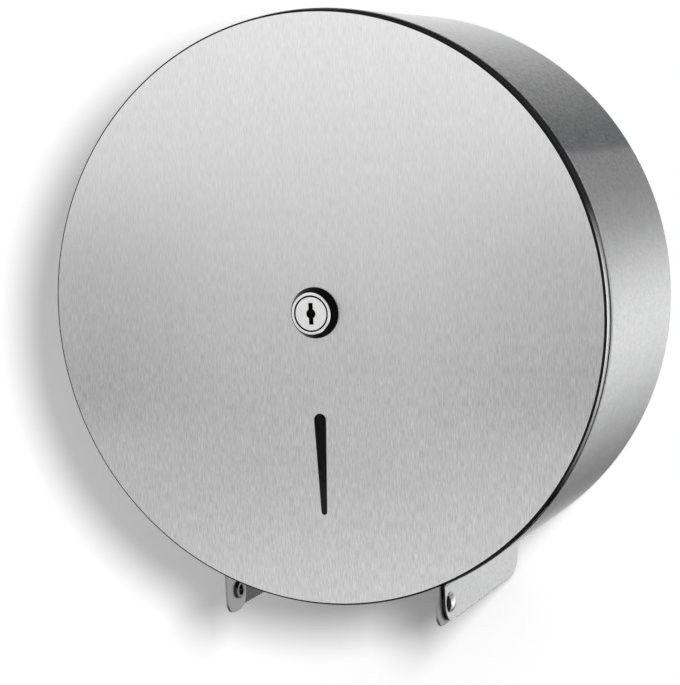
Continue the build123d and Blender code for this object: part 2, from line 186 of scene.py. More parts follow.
# Studio: the light that matt surfaces get, and the panels that steel mirrors.
# A panel's angle is taken round the roll's axis, from +X (0) over the top (90), and its
# reach to either side of that, in degrees. Its front and back ends lie between -1, the
# room, and 1, the wall. A panel without an end runs on past it.
studio = {
    "mattLevel": 0.45,
    "darkLevel": 0.182,
    "panels": {
        "overhead": {
            "angle": 130.5, "reach": 86.4, "level": 1.6, "falloff": 2.2,
            "front": -0.9, "back": 0.97,
        },
        "right": {"angle": -17.9, "reach": 48.0, "level": 1.15, "falloff": 3.1, "front": -0.45},
        "floor": {
            "angle": -81.0, "reach": 16.0, "level": 1.6, "falloff": 1.9,
            "front": -0.9, "back": 0.73,
        },
        "fill": {"angle": -9.5, "reach": 47.5, "level": 0.29, "falloff": 0.16},
        "left": {"angle": 190.0, "reach": 45.0, "level": 0.5, "falloff": 2.0, "front": 0.1},
    },
    "endBlur": 0.15,
    "frontLevel": 0.429,
    "frontLine": -0.183,  # where the room's front wall meets its floor
    "frontRise": 0.847,  # the wall grows brighter above that line
    "riseSlope": 5,
    "riseCap": 1.4,
    "frontFoot": 0.825,  # and the floor below it
    "footSlope": 20,
    "frontEdge": (-0.826, -0.466),
    "frontTop": (0.10, 0.40),  # the front wall fades between these heights
    "frontFade": 0.38,
}


def makeStudio():
    world = bpy.data.worlds.new("studio")
    world.use_nodes = True
    world.cycles.sampling_method = "NONE"
    bpy.context.scene.world = world
    air = Finish(world.node_tree)
    across, deep, high = air.axes(air.node("ShaderNodeTexCoord", output="Generated"))
    reach = fromAxis(across, high)
    blur = studio["endBlur"]
    side = studio["darkLevel"]
    for panel in studio["panels"].values():
        middle, edge = radians(panel["angle"]), cos(radians(panel["reach"]))
        towards = (across * cos(middle) + high * sin(middle)) / reach
        glow = air.clamp((towards - edge) / (1 - edge)) ** panel["falloff"] * panel["level"]
        if "front" in panel:
            glow = glow * air.smooth(deep, panel["front"] - blur, panel["front"] + blur)
        if "back" in panel:
            glow = glow * air.smooth(deep, panel["back"] + blur, panel["back"] - blur)
        side = side + glow
    line = studio["frontLine"]
    rise = air.clamp((high - line) * studio["riseSlope"], 0, studio["riseCap"])
    foot = air.clamp((line - high) * studio["footSlope"])
    front = rise * studio["frontRise"] + studio["frontLevel"] + foot * studio["frontFoot"]
    front = front * (1 - air.smooth(high, *studio["frontTop"]) * studio["frontFade"])
    mirrored = air.either(air.smooth(deep, *studio["frontEdge"]), front, side)
    path = air.node("ShaderNodeLightPath", output="Is Camera Ray")
    level = air.either(path.output("Is Glossy Ray"), studio["mattLevel"], mirrored)
    plainWhite = air.math("MAXIMUM", path, path.output("Is Transmission Ray"))
    level = air.either(plainWhite, level, 1.0)
    light = air.node("ShaderNodeBackground", {}, {"Color": level, "Strength": 1.0})
    air.node("ShaderNodeOutputWorld", {}, {"Surface": light})


keyLamp = {"place": (0.45, -0.80, 0.165), "size": 0.20, "power": 9.5}


def makeKeyLamp():
    data = bpy.data.lights.new("keyLamp", "AREA")
    data.shape = "DISK"
    data.size = keyLamp["size"]
    data.energy = keyLamp["power"]
    lamp = bpy.data.objects.new("keyLamp", data)
    lamp.location = keyLamp["place"]
    lamp.rotation_euler = (pi / 2, 0, 0)  # square to the wall
    lamp.visible_glossy = False
    bpy.context.scene.collection.objects.link(lamp)


# Wall and floor, seen from the room's side only. Their paint evens out the lamp's
# fall-off, so that they come out white wherever nothing shades them.
backdrop = {"wallGap": 0.0006, "wallSize": 3.0, "floorDrop": 0.8, "white": 1.045}


def makeBackdrop():
    material, paint = newFinish("palePaint")
    facing = paint.node("ShaderNodeNewGeometry", output="Backfacing")
    lampX, lampY, lampZ = keyLamp["place"]
    across, _, high = paint.axes(paint.place())
    # The wall gets power * cosine squared / (pi * distance) squared, cosine = lampY / distance
    distanceSquared = (across - lampX) ** 2 + (high - lampZ) ** 2 + lampY**2
    lamplight = keyLamp["power"] * lampY**2 / pi**2 / distanceSquared**2
    colour = backdrop["white"] / (studio["mattLevel"] + lamplight)
    matt = paint.node("ShaderNodeBsdfDiffuse", {}, {"Color": colour})
    clear = paint.node("ShaderNodeBsdfTransparent")
    shown = paint.node("ShaderNodeMixShader", {}, {0: facing, 1: matt, 2: clear})
    paint.node("ShaderNodeOutputMaterial", {}, {"Surface": shown})
    size, wallY, floorZ = backdrop["wallSize"], backdrop["wallGap"], -backdrop["floorDrop"]
    wallFoot = [(-size, wallY, floorZ), (size, wallY, floorZ)]
    corners = {
        "wall": wallFoot + [(size, wallY, size), (-size, wallY, size)],
        "floor": [(-size, -size, floorZ), (size, -size, floorZ)] + wallFoot[::-1],
    }
    for name, points in corners.items():
        mesh = bpy.data.meshes.new(name)
        mesh.from_pydata(points, [], [(0, 1, 2, 3)])
        mesh.materials.append(material)
        plane = bpy.data.objects.new(name, mesh)
        for ray in ("diffuse", "glossy", "shadow", "transmission"):
            setattr(plane, f"visible_{ray}", False)
        bpy.context.scene.collection.objects.link(plane)


makeStudio()
makeKeyLamp()
makeBackdrop()
print("studio, lamp and backdrop made")


# In the settings below, a pair is where a change sets in and where it is complete: a
# Reach is taken from the roll's axis, a Band is a height and a Depth runs along Y, all in
# metres, and a From is a noise value. Three small lengths are a noise's sizes along X, Y
# and Z.


# Brushed sheet: short strokes, longer hairs and slow clouds over them
def brushed(steel, place, look):
    strokes = steel.noise(place, look["stroke"], roughness=0.65)
    hairs = steel.noise(place, look["hair"], detail=2.0, roughness=0.5)
    clouds = steel.noise(place, look["cloud"], roughness=0.55)
    grain = swing(strokes, look["strokeTone"]) + swing(hairs, look["hairTone"])
    rough = look["roughness"] + swing(strokes, look["strokeRoughness"])
    rough = rough + swing(clouds, look["cloudRoughness"])
    return strokes, grain, swing(clouds, look["cloudTone"]), rough


doorSheet = {
    "stroke": (0.0005, 0.0005, 0.0048),
    "hair": (0.0011, 0.0011, 0.025),
    "cloud": (0.05, 0.05, 0.03),
    "strokeTone": 0.58,
    "hairTone": 0.08,
    "cloudTone": 0.03,
    "footBand": (0.04, -0.06),
    "footGrain": 0.8,  # how much stronger the strokes show low on the door
    "colour": (0.60, 0.60, 0.60),
    "insideColour": (0.46, 0.46, 0.455),
    "insideDepth": (-0.1149, -0.1143),
    "insideReach": (0.1369, 0.1366),
    "edgeShadeColour": (0.008, 0.008, 0.008),  # painted shade: the dark line that runs round the door's edge
    "edgeReach": (0.1364, 0.13665),
    "edgeShadeMetalLoss": 0.9,
    "sideShade": 0.16,  # how much painted shade darkens the door at both sides against its middle
    "sideMiddle": 0.010,
    "sideAway": (0.02, 0.135),  # distances from that middle
    "sideBands": ((0.085, 0.015), (-0.070, -0.035)),
    "roughness": 0.30,
    "strokeRoughness": 0.06,
    "cloudRoughness": 0.05,
    "insideRougher": 0.08,
    "bendRoughness": 0.12,
    "bendReach": (0.1362, 0.1367),
    "anisotropic": 0.8,
    "bump": 0.00001,
}


def makeDoorSheet():
    material, steel = newFinish("doorSheet")
    place = steel.place()
    across, deep, high = steel.axes(place)
    radius = fromAxis(across, high)
    height, grain, clouds, rough = brushed(steel, place, doorSheet)
    grain = grain * (1 + steel.smooth(high, *doorSheet["footBand"]) * doorSheet["footGrain"])
    inside = steel.smooth(deep, *doorSheet["insideDepth"])
    inside = inside * steel.smooth(radius, *doorSheet["insideReach"])
    bend = steel.smooth(radius, *doorSheet["bendReach"])
    outerRough = steel.either(bend, rough, doorSheet["bendRoughness"])
    rough = steel.either(inside, outerRough, rough + doorSheet["insideRougher"])
    # Painted shade: the door's edge is painted dark and made less metallic
    edge = steel.smooth(radius, *doorSheet["edgeReach"]) * (1 - inside)
    colour = steel.blend(inside, doorSheet["colour"], doorSheet["insideColour"])
    colour = steel.blend(edge, colour, doorSheet["edgeShadeColour"])
    # Painted shade: the door is darker towards both sides than up its middle
    aside = abs(across - doorSheet["sideMiddle"])
    shaded = steel.smooth(aside, *doorSheet["sideAway"]) * doorSheet["sideShade"]
    for band in doorSheet["sideBands"]:
        shaded = shaded * steel.smooth(high, *band)
    steel.surface(
        Base_Color=steel.shade(colour, 1 + grain + clouds - shaded),
        Metallic=1 - edge * doorSheet["edgeShadeMetalLoss"],
        Roughness=rough,
        Specular_IOR_Level=0.0,
        Anisotropic=doorSheet["anisotropic"],
        Normal=steel.bump(height, doorSheet["bump"]),
    )
    return material


# The rim keeps bright steel between two heights; above and below it is painted dark, as painted
# shade
rimShade = {"topBand": (0.050, 0.010), "footBand": (-0.085, -0.035), "reach": (0.128, 0.130)}


def unshadedBand(steel, place):
    across, _, high = steel.axes(place)
    unshaded = steel.smooth(high, *rimShade["topBand"]) * steel.smooth(high, *rimShade["footBand"])
    return unshaded * steel.smooth(fromAxis(across, high), *rimShade["reach"])


doorRim = {
    "stroke": (0.0010, 0.0045, 0.0010),
    "hair": (0.0012, 0.030, 0.0012),
    "cloud": (0.03, 0.03, 0.03),
    "strokeTone": 0.16,
    "hairTone": 0.08,
    "cloudTone": 0.06,
    "colour": (0.64, 0.64, 0.64),
    # Painted shade: the lip outside its bright band, and its front edge
    "shadeColour": (0.022, 0.022, 0.022),
    "footShadeColour": (0.006, 0.006, 0.006),  # painted shade, darker still low on the door
    "footBand": (0.02, -0.06),
    "edgeShadeColour": (0.008, 0.008, 0.008),
    "edgeDepth": (-0.1130, -0.1145),
    "roughness": 0.09,
    "unshadedRoughness": 0.32,
    "strokeRoughness": 0.05,
    "cloudRoughness": 0.05,
    "bump": 0.000005,
}


def makeDoorRim():
    material, steel = newFinish("doorRim")
    place = steel.place()
    _, deep, high = steel.axes(place)
    height, grain, clouds, rough = brushed(steel, place, doorRim)
    # Painted shade: the lip is dark outside the band, darkest low on the door and at its front
    # edge
    edge = steel.smooth(deep, *doorRim["edgeDepth"])
    unshaded = unshadedBand(steel, place)
    low = steel.smooth(high, *doorRim["footBand"])
    shaded = steel.blend(low, doorRim["shadeColour"], doorRim["footShadeColour"])
    colour = steel.blend(unshaded, shaded, doorRim["colour"])
    colour = steel.blend(edge, colour, doorRim["edgeShadeColour"])
    steel.surface(
        Base_Color=steel.shade(colour, 1 + grain + clouds),
        Metallic=unshaded * (1 - edge),
        Roughness=rough + unshaded * (doorRim["unshadedRoughness"] - doorRim["roughness"]),
        Specular_IOR_Level=0.0,
        Normal=steel.bump(height, doorRim["bump"]),
    )
    return material


# At the upper right the sheet is painted darker above a ragged line, as painted shade, and painted
# lighter just below it, and it is more scuffed on both sides.
shellSheet = {
    "stroke": (0.0034, 0.0008, 0.0034),
    "hair": (0.030, 0.0011, 0.030),
    "cloud": (0.04, 0.02, 0.04),
    "scuff": (0.0016, 0.0032, 0.0016),
    "strokeTone": 0.30,
    "hairTone": 0.12,
    "cloudTone": 0.06,
    "scuffTone": 0.55,
    "addedScuffTone": 1.0,
    "addedScuffBands": ((0.045, 0.075), (0.122, 0.100)),
    "colour": (0.513, 0.515, 0.515),
    "lineRight": (0.0, 0.05),  # along X
    "lineBand": (0.0670, 0.0702),
    "lineRagged": 0.008,
    "shadeColour": (0.405, 0.424, 0.432),
    "shadeBand": (0.0926, 0.0716),
    "lightened": 0.12,
    "lightenedBand": (0.0516, 0.0656),
    "insideColour": (0.35, 0.35, 0.346),
    "insideReach": (0.1384, 0.1380),
    "earBand": (-0.1275, -0.1285),
    "earColour": (0.475, 0.477, 0.477),
    # painted shade on the ears' inner sides
    "earInsideShadeColour": (0.075, 0.075, 0.075),
    "earInside": (0.0557, 0.0553),  # along X, to either side
    "roughness": 0.38,
    "strokeRoughness": 0.06,
    "cloudRoughness": 0.05,
    "anisotropic": 0.95,
    "bump": 0.00001,
}


def makeShellSheet():
    material, steel = newFinish("shellSheet")
    place = steel.place()
    across, _, high = steel.axes(place)
    height, grain, clouds, rough = brushed(steel, place, shellSheet)
    scuffs = steel.noise(place, shellSheet["scuff"], roughness=0.7) - 0.5
    rising, falling = shellSheet["addedScuffBands"]
    added = steel.smooth(high, *rising) * steel.smooth(high, *falling)
    added = added * shellSheet["addedScuffTone"]
    grain = grain + scuffs * (shellSheet["scuffTone"] + added)
    # Painted shade above the ragged line at the upper right, and a painted lighter band below it
    right = steel.smooth(across, *shellSheet["lineRight"])
    above = steel.smooth(high + scuffs * shellSheet["lineRagged"], *shellSheet["lineBand"])
    shaded = right * above * steel.smooth(high, *shellSheet["shadeBand"])
    lightened = right * (1 - above) * steel.smooth(high, *shellSheet["lightenedBand"])
    ear = steel.smooth(high, *shellSheet["earBand"])
    outerColour = steel.blend(shaded, shellSheet["colour"], shellSheet["shadeColour"])
    outerColour = steel.blend(ear, outerColour, shellSheet["earColour"])
    rollInside = steel.smooth(fromAxis(across, high), *shellSheet["insideReach"])
    earInside = steel.smooth(abs(across), *shellSheet["earInside"])
    inside = steel.either(ear, rollInside, earInside)
    # The ears' inner sides are painted nearly black, as painted shade
    innerColour = steel.blend(ear, shellSheet["insideColour"], shellSheet["earInsideShadeColour"])
    colour = steel.blend(inside, outerColour, innerColour)
    steel.surface(
        Base_Color=steel.shade(colour, 1 + grain + clouds + lightened * shellSheet["lightened"]),
        Metallic=1.0,
        Roughness=rough,
        Anisotropic=shellSheet["anisotropic"],
        Normal=steel.bump(height, shellSheet["bump"]),
    )
    return material


cutEdge = {
    "tear": (0.0004, 0.0006, 0.0004),
    "tearTone": 0.3,
    # Cut edges are painted dark, as painted shade, outside the rim's unshaded band
    "colour": (0.05, 0.05, 0.05),
    "unshadedColour": (0.60, 0.60, 0.60),
    "shadeMetallic": 0.4,
    "roughness": 0.45,
    "tearRoughness": 0.2,
    "bump": 0.00002,
}


def makeCutEdge():
    material, steel = newFinish("cutEdge")
    place = steel.place()
    tear = steel.noise(place, cutEdge["tear"])
    # Painted shade: the cut edges are dark and keep bright steel only in the rim's unshaded band
    unshaded = unshadedBand(steel, place)
    colour = steel.blend(unshaded, cutEdge["colour"], cutEdge["unshadedColour"])
    steel.surface(
        Base_Color=steel.shade(colour, 1 + swing(tear, cutEdge["tearTone"])),
        Metallic=steel.either(unshaded, cutEdge["shadeMetallic"], 1.0),
        Specular_IOR_Level=0.0,
        Roughness=cutEdge["roughness"] + swing(tear, cutEdge["tearRoughness"]),
        Normal=steel.bump(tear, cutEdge["bump"]),
    )
    return material


plainSheet = {
    "mill": (0.0015, 0.0015, 0.0015),
    "drawn": (0.0012, 0.02, 0.0012),
    "cloud": (0.02, 0.02, 0.02),
    "tone": 0.95,
    "millTone": 0.2,
    "cloudTone": 0.2,
    "drawnTone": 0.1,
    "colour": (0.37, 0.37, 0.366),
    "roughness": 0.34,
    "cloudRoughness": 0.16,
    "drawnRoughness": 0.06,
    "bump": 0.00001,
}


def makePlainSheet():
    material, steel = newFinish("plainSheet")
    place = steel.place()
    mill = steel.noise(place, plainSheet["mill"], detail=4.0)
    drawn = steel.noise(place, plainSheet["drawn"], detail=2.0, roughness=0.5)
    clouds = steel.noise(place, plainSheet["cloud"], roughness=0.55)
    tone = plainSheet["tone"] + swing(mill, plainSheet["millTone"])
    tone = tone + swing(clouds, plainSheet["cloudTone"]) + swing(drawn, plainSheet["drawnTone"])
    rough = plainSheet["roughness"] + swing(clouds, plainSheet["cloudRoughness"])
    steel.surface(
        Base_Color=steel.shade(plainSheet["colour"], tone),
        Metallic=1.0,
        Roughness=rough + swing(drawn, plainSheet["drawnRoughness"]),
        Normal=steel.bump(steel.either(0.5, mill, drawn), plainSheet["bump"]),
    )
    return material


bracketSteel = {
    "mill": (0.0012, 0.0012, 0.0012),
    "drawn": (0.02, 0.0008, 0.0008),
    "millTone": 0.3,
    "drawnTone": 0.3,
    "colour": (0.25, 0.25, 0.25),
    "roughness": 0.36,
    "millRoughness": 0.16,
    "bump": 0.00001,
}


def makeBracketSteel():
    material, steel = newFinish("bracketSteel")
    place = steel.place()
    mill = steel.noise(place, bracketSteel["mill"], detail=4.0)
    drawn = steel.noise(place, bracketSteel["drawn"], detail=2.0, roughness=0.5)
    tone = 1 + swing(mill, bracketSteel["millTone"]) + swing(drawn, bracketSteel["drawnTone"])
    steel.surface(
        Base_Color=steel.shade(bracketSteel["colour"], tone),
        Metallic=1.0,
        Roughness=bracketSteel["roughness"] + swing(mill, bracketSteel["millRoughness"]),
        Normal=steel.bump(steel.either(0.5, mill, drawn), bracketSteel["bump"]),
    )
    return material


# The keyway is the slot that the key slides in, along the plug's middle; it is painted dark, as
# painted shade
zincPlate = {
    "cloud": (0.006, 0.006, 0.006),
    "pit": (0.0003, 0.0003, 0.0003),
    "pitTone": 0.16,
    "cool": (0.60, 0.63, 0.67),
    "warm": (0.66, 0.64, 0.57),
    "warmFrom": (0.4, 0.65),
    "keywayShade": (0.03, 0.03, 0.03),
    "keywayReach": (0.0058, 0.0055),
    "keywayFrontDepth": (-0.1180, -0.1178),
    "keywayBackDepth": (-0.0985, -0.0987),
    "roughness": 0.24,
    "pitRoughness": 0.14,
    "keywayRougher": 0.3,
    "bump": 0.000006,
}


def makeZincPlate():
    material, zinc = newFinish("zincPlate")
    place = zinc.place()
    across, deep, high = zinc.axes(place)
    clouds = zinc.noise(place, zincPlate["cloud"], detail=2.0, roughness=0.5)
    pits = zinc.noise(place, zincPlate["pit"])
    keywayShade = zinc.smooth(fromAxis(across, high), *zincPlate["keywayReach"])
    keywayShade = keywayShade * zinc.smooth(deep, *zincPlate["keywayFrontDepth"])
    keywayShade = keywayShade * zinc.smooth(deep, *zincPlate["keywayBackDepth"])
    warmth = zinc.smooth(clouds, *zincPlate["warmFrom"])
    colour = zinc.blend(warmth, zincPlate["cool"], zincPlate["warm"])
    colour = zinc.blend(keywayShade, colour, zincPlate["keywayShade"])
    rough = zincPlate["roughness"] + swing(pits, zincPlate["pitRoughness"])
    zinc.surface(
        Base_Color=zinc.shade(colour, 1 + swing(pits, zincPlate["pitTone"])),
        Metallic=1.0,
        Roughness=rough + keywayShade * zincPlate["keywayRougher"],
        Normal=zinc.bump(pits, zincPlate["bump"]),
    )
    return material


rivetSteel = {
    "rub": (0.0004, 0.0004, 0.0022),
    "dent": (0.0016, 0.0016, 0.0016),
    "rubTone": 0.16,
    "rubShare": 0.3,  # of the bump; the dents make the rest
    "colour": (0.66, 0.66, 0.655),
    # The head's outer side and the tails are painted dark, as painted shade
    "darkColour": (0.012, 0.012, 0.012),
    "shadeDepth": (-0.1050, -0.1060),
    "shadeRagged": 0.001,
    "tailShadeColour": (0.10, 0.10, 0.10),
    "tail": (0.0535, 0.0532),  # along X, to either side; the tails lie further in
    "roughness": 0.16,
    "rubRoughness": 0.12,
    "bump": 0.00003,
}


def makeRivetSteel():
    material, steel = newFinish("rivetSteel")
    place = steel.place()
    across, deep, _ = steel.axes(place)
    rubs = steel.noise(place, rivetSteel["rub"])
    dents = steel.noise(place, rivetSteel["dent"], detail=2.0, roughness=0.5)
    # Painted shade: the head's outer side is dark, and so are the tails further in
    ragged = deep + swing(dents, rivetSteel["shadeRagged"])
    darkened = steel.smooth(ragged, *rivetSteel["shadeDepth"])
    colour = steel.blend(darkened, rivetSteel["colour"], rivetSteel["darkColour"])
    tail = steel.smooth(abs(across), *rivetSteel["tail"])
    colour = steel.blend(tail, colour, rivetSteel["tailShadeColour"])
    height = steel.either(rivetSteel["rubShare"], dents, rubs)
    steel.surface(
        Base_Color=steel.shade(colour, 1 + swing(rubs, rivetSteel["rubTone"])),
        Metallic=1.0,
        Roughness=rivetSteel["roughness"] + swing(rubs, rivetSteel["rubRoughness"]),
        Normal=steel.bump(height, rivetSteel["bump"]),
    )
    return material


# The hinge washers are painted nearly black, as painted shade in the gap beside each ear
shadedWasher = {
    "mottle": (0.001, 0.001, 0.001),
    "colour": (0.012, 0.012, 0.011),
    "lighterColour": (0.05, 0.05, 0.05),
    "lighterFrom": (0.5, 0.7),
    "metallic": 0.2,
    "specular": 0.1,
    "roughness": 0.42,
    "mottleRoughness": 0.3,
    "bump": 0.00003,
}


def makeShadedWasher():
    material, steel = newFinish("shadedWasher")
    place = steel.place()
    mottles = steel.noise(place, shadedWasher["mottle"])
    lighter = steel.smooth(mottles, *shadedWasher["lighterFrom"])
    steel.surface(
        Base_Color=steel.blend(lighter, shadedWasher["colour"], shadedWasher["lighterColour"]),
        Metallic=shadedWasher["metallic"],
        Roughness=shadedWasher["roughness"] + swing(mottles, shadedWasher["mottleRoughness"]),
        Specular_IOR_Level=shadedWasher["specular"],
        Normal=steel.bump(mottles, shadedWasher["bump"]),
    )
    return material


# The ring between plug and housing, and the inside of the keyhole, are painted dark, as painted
# shade
lockChrome = {
    "stroke": (0.0002, 0.0002, 0.004),
    "rub": (0.003, 0.003, 0.003),
    "strokeTone": 0.18,
    "rubTone": 0.06,
    "colour": (0.80, 0.80, 0.80),
    "recessShade": (0.02, 0.02, 0.02),
    "ringInnerReach": (0.0076, 0.0077),
    "ringOuterReach": (0.0085, 0.0084),
    "ringDepth": (-0.1165, -0.1170),
    "keyholeReach": (0.0056, 0.0053),
    "keyholeDepth": (-0.1193, -0.1192),
    "roughness": 0.2,
    "strokeRoughness": 0.14,
    "rubRoughness": 0.06,
    "recessShadeRougher": 0.3,
    "bump": 0.000006,
}


def makeLockChrome():
    material, chrome = newFinish("lockChrome")
    place = chrome.place()
    across, deep, high = chrome.axes(place)
    radius = fromAxis(across, high)
    strokes = chrome.noise(place, lockChrome["stroke"])
    rubs = chrome.noise(place, lockChrome["rub"], detail=2.0, roughness=0.5)
    ring = chrome.smooth(radius, *lockChrome["ringInnerReach"])
    ring = ring * chrome.smooth(radius, *lockChrome["ringOuterReach"])
    ring = ring * chrome.smooth(deep, *lockChrome["ringDepth"])
    keyhole = chrome.smooth(radius, *lockChrome["keyholeReach"])
    keyhole = keyhole * chrome.smooth(deep, *lockChrome["keyholeDepth"])
    recessShade = chrome.math("MAXIMUM", ring, keyhole)
    colour = chrome.blend(recessShade, lockChrome["colour"], lockChrome["recessShade"])
    tone = 1 + swing(strokes, lockChrome["strokeTone"]) + swing(rubs, lockChrome["rubTone"])
    rough = lockChrome["roughness"] + swing(strokes, lockChrome["strokeRoughness"])
    rough = rough + swing(rubs, lockChrome["rubRoughness"])
    chrome.surface(
        Base_Color=chrome.shade(colour, tone),
        Metallic=1.0,
        Roughness=rough + recessShade * lockChrome["recessShadeRougher"],
        Normal=chrome.bump(strokes, lockChrome["bump"]),
    )
    return material


bezelBlack = {
    "peel": (0.0011, 0.0011, 0.0011),
    "dust": (0.0003, 0.0003, 0.0003),
    "dustFrom": (0.68, 0.8),
    "colour": (0.002, 0.002, 0.0022),
    "dustColour": (0.03, 0.03, 0.03),
    "dustCover": 0.4,
    "roughness": 0.16,
    "dustRougher": 0.2,
    "specular": 0.02,
    "bump": 0.00001,
}


def makeBezelBlack():
    material, gloss = newFinish("bezelBlack")
    place = gloss.place()
    peel = gloss.noise(place, bezelBlack["peel"], detail=2.0, roughness=0.5)
    specks = gloss.noise(place, bezelBlack["dust"], detail=1.0, roughness=0.5)
    dust = gloss.smooth(specks, *bezelBlack["dustFrom"])
    cover = dust * bezelBlack["dustCover"]
    gloss.surface(
        Base_Color=gloss.blend(cover, bezelBlack["colour"], bezelBlack["dustColour"]),
        Roughness=bezelBlack["roughness"] + dust * bezelBlack["dustRougher"],
        Specular_IOR_Level=bezelBlack["specular"],
        Normal=gloss.bump(peel, bezelBlack["bump"]),
    )
    return material


waferBrass = {
    "stain": (0.002, 0.002, 0.002),
    "rub": (0.0002, 0.0002, 0.0015),
    "colour": (0.30, 0.22, 0.11),
    "darkColour": (0.05, 0.045, 0.04),
    "tarnishFrom": (0.45, 0.7),
    "frontDepth": (-0.1125, -0.1145),  # the wafer behind the keyhole is painted dark all over, as painted shade
    "roughness": 0.38,
    "rubRoughness": 0.2,
    "bump": 0.000005,
}


def makeWaferBrass():
    material, brass = newFinish("waferBrass")
    place = brass.place()
    _, deep, _ = brass.axes(place)
    stain = brass.noise(place, waferBrass["stain"])
    rubs = brass.noise(place, waferBrass["rub"], detail=2.0, roughness=0.5)
    # Tarnish darkens the brass at random; the front wafer is painted dark all over, as painted
    # shade
    front = brass.smooth(deep, *waferBrass["frontDepth"])
    darkened = brass.clamp(brass.smooth(stain, *waferBrass["tarnishFrom"]) + front)
    brass.surface(
        Base_Color=brass.blend(darkened, waferBrass["colour"], waferBrass["darkColour"]),
        Metallic=1.0,
        Roughness=waferBrass["roughness"] + swing(rubs, waferBrass["rubRoughness"]),
        Normal=brass.bump(rubs, waferBrass["bump"]),
    )
    return material


hubPlastic = {
    "grain": (0.0006, 0.0006, 0.0006),
    "rub": (0.008, 0.03, 0.008),
    "rubFrom": (0.5, 0.75),
    "colour": (0.035, 0.036, 0.039),
    "rubbedColour": (0.085, 0.086, 0.09),
    "rubCover": 0.5,
    "roughness": 0.52,
    "grainRoughness": 0.16,
    "rubSmoother": 0.1,
    "bump": 0.00002,
}


def makeHubPlastic():
    material, plastic = newFinish("hubPlastic")
    place = plastic.place()
    grain = plastic.noise(place, hubPlastic["grain"])
    rubs = plastic.smooth(plastic.noise(place, hubPlastic["rub"]), *hubPlastic["rubFrom"])
    cover = rubs * hubPlastic["rubCover"]
    rough = hubPlastic["roughness"] + swing(grain, hubPlastic["grainRoughness"])
    plastic.surface(
        Base_Color=plastic.blend(cover, hubPlastic["colour"], hubPlastic["rubbedColour"]),
        Roughness=rough - rubs * hubPlastic["rubSmoother"],
        Normal=plastic.bump(grain, hubPlastic["bump"]),
    )
    return material


finishes = {
    "door_sheet": makeDoorSheet(),
    "shell_sheet": makeShellSheet(),
    "plain_sheet": makePlainSheet(),
    "rivet_steel": makeRivetSteel(),
    "zinc_steel": makeZincPlate(),
    "lock_chrome": makeLockChrome(),
    "bezel_black": makeBezelBlack(),
    "wafer_brass": makeWaferBrass(),
    "hub_plastic": makeHubPlastic(),
}
shadedWasherFinish = makeShadedWasher()
ownFinishes = {
    "door_lip": makeDoorRim(),
    "hinge_bracket": makeBracketSteel(),
    "hinge_washer_left": shadedWasherFinish,
    "hinge_washer_right": shadedWasherFinish,
}
for part in frame["record"]["subparts"]:
    finish = ownFinishes.get(part["node"], finishes[part["material_slot"]])
    for holder in nodes[part["node"]].material_slots:
        holder.material = finish


# Points on an arc, both ends included
def arc(middle, radius, start, turn, steps):
    angles = [start + turn * step / steps for step in range(steps + 1)]
    return [(middle[0] + radius * cos(a), middle[1] + radius * sin(a)) for a in angles]


def circle(middle, radius, steps):
    return arc(middle, radius, 0, 2 * pi, steps)[:-1]


# Pairs of neighbours round a closed loop
def pairs(loop):
    return list(zip(loop, loop[1:] + loop[:1]))


# A mesh as an object, with its weighted edges deburred. Its first material is for the
# sheet's faces and its second for the cut edges.
def addSheet(name, mesh, face, deburrWidth):
    data = bpy.data.meshes.new(name)
    mesh.to_mesh(data)
    mesh.free()
    data.materials.append(face)
    data.materials.append(cutSteel)
    for polygon in data.polygons:
        polygon.use_smooth = True
    made = bpy.data.objects.new(name, data)
    bpy.context.scene.collection.objects.link(made)
    deburr = made.modifiers.new("deburr", "BEVEL")
    deburr.width = deburrWidth / 1000
    deburr.segments = 2
    deburr.limit_method = "WEIGHT"
    return made


cutSteel = makeCutEdge()

# The door's face as one smooth pressing: the flat, its two openings and the bend into
# the lip. Sizes repeat the CAD part's, in millimetres; out is the distance from the wall.
pressing = {
    "radius": 137.5,
    "bend": 1.2,
    "thickness": 0.8,
    "faceOut": 115.0,
    "steps": 480,
    "bendSteps": 12,
    "innerBendSteps": 6,
    "boreRadius": 8.0,
    "boreFlat": 7.0,
    "boreFlatGap": 0.05,  # no point of the bore's round parts lies nearer to its flats
    "boreSteps": 64,
    "slotTop": (50.0, 3.0),  # how far below the lock, radius
    "slotFoot": (93.2, 1.4),
    "slotTopSteps": 24,
    "slotFootSteps": 16,
    "deburr": 0.15,
    "sharpAngle": 60,  # degrees
}


# Outlines of the bore and the sight slot as (x, z)
def boreOutline():
    radius, limit = pressing["boreRadius"], pressing["boreFlat"]
    corner = sqrt(radius**2 - limit**2)
    ring = circle((0, 0), radius, pressing["boreSteps"])
    kept = [point for point in ring if abs(point[0]) < limit - pressing["boreFlatGap"]]
    kept += [(x, z) for x in (-limit, limit) for z in (-corner, corner)]
    return sorted(kept, key=lambda point: atan2(point[1], point[0]))


def slotOutline():
    topDrop, topRadius = pressing["slotTop"]
    footDrop, footRadius = pressing["slotFoot"]
    tilt = asin((topRadius - footRadius) / (footDrop - topDrop))
    top = arc((0, -topDrop), topRadius, -tilt, pi + 2 * tilt, pressing["slotTopSteps"])
    return top + arc(
        (0, -footDrop), footRadius, pi + tilt, pi - 2 * tilt, pressing["slotFootSteps"]
    )


